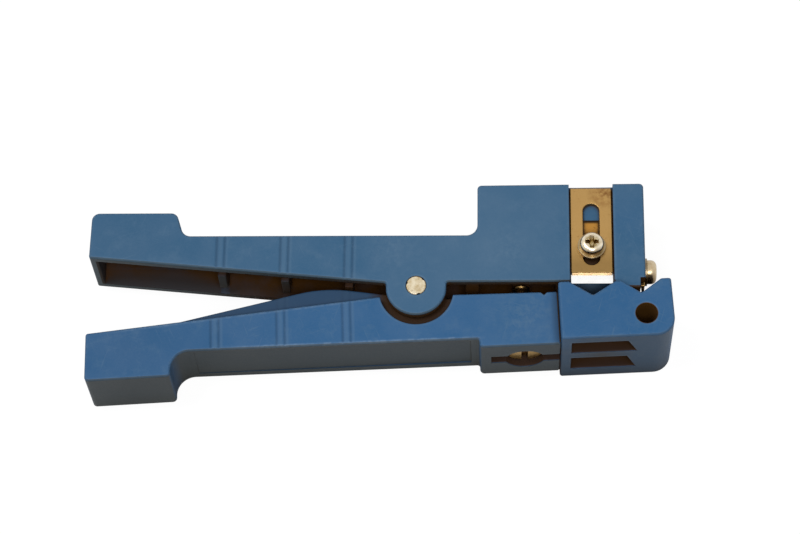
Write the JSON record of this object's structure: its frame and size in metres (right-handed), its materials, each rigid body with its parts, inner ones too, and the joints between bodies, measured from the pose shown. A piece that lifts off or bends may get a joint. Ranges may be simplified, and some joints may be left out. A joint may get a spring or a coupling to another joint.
{
  "type": "cable stripping tool",
  "caption": "Clothespin-style hand tool with sprung nylon levers, a ring blade and a slitting blade over a V-grooved guide block, for opening cable jackets.",
  "frame": {"origin": "middle of the tool's outline, on the plane of the guide block's back face, which is the lowest face when the tool lies on its side", "axes": "+X along the tool from the handles to the jaws, +Y from the lower lever to the upper lever, +Z along the pivot pin, out of the face that carries the ring blade"},
  "size_m": [0.1336, 0.0448, 0.0222],
  "materials": {
    "blue_nylon": "moulded blue nylon with a fine satin texture",
    "brass": "rolled brass, lightly tarnished",
    "blade_steel": "bright ground razor steel",
    "nickel_steel": "nickel plated steel",
    "spring_steel": "drawn spring wire"
  },
  "bodies": {
    "lower_body": {"lower_lever": "blue_nylon", "guide_block": "blue_nylon", "depth_insert": "brass", "torsion_spring": "spring_steel"},
    "upper_body": {"upper_lever": "blue_nylon", "pivot_pin": "nickel_steel", "ring_insert": "brass", "slit_insert": "brass", "ring_washer": "nickel_steel", "slit_washer": "nickel_steel", "ring_screw": "nickel_steel", "slit_screw": "nickel_steel"},
    "ring_blade_body": {"ring_blade": "blade_steel", "ring_clamp_plate": "brass"},
    "slit_blade_body": {"slit_blade": "blade_steel", "slit_clamp_plate": "brass"},
    "depth_screw_body": {"depth_screw": "brass"}
  },
  "joints": [
    {"name": "handle_squeeze", "type": "hinge", "parent": "lower_body", "child": "upper_body", "pos_m": [0.00887, -0.0024, 0.0111], "axis": [0, 0, 1], "range_deg": [0, 14], "stiffness_Nm_per_rad": 0.26, "springref_deg": -126.05, "deforming": ["torsion_spring"]},
    {"name": "ring_blade_depth", "type": "slide", "parent": "upper_body", "child": "ring_blade_body", "axis": [0.0464, 0.9989, 0], "range_m": [-0.0014, 0.003]},
    {"name": "slit_blade_depth", "type": "slide", "parent": "upper_body", "child": "slit_blade_body", "axis": [0.0464, 0.9989, 0], "range_m": [-0.0015, 0.0018]},
    {"name": "depth_screw_travel", "type": "slide", "parent": "lower_body", "child": "depth_screw_body", "axis": [0, 1, 0], "range_m": [-0.002, 0]}
  ]
}
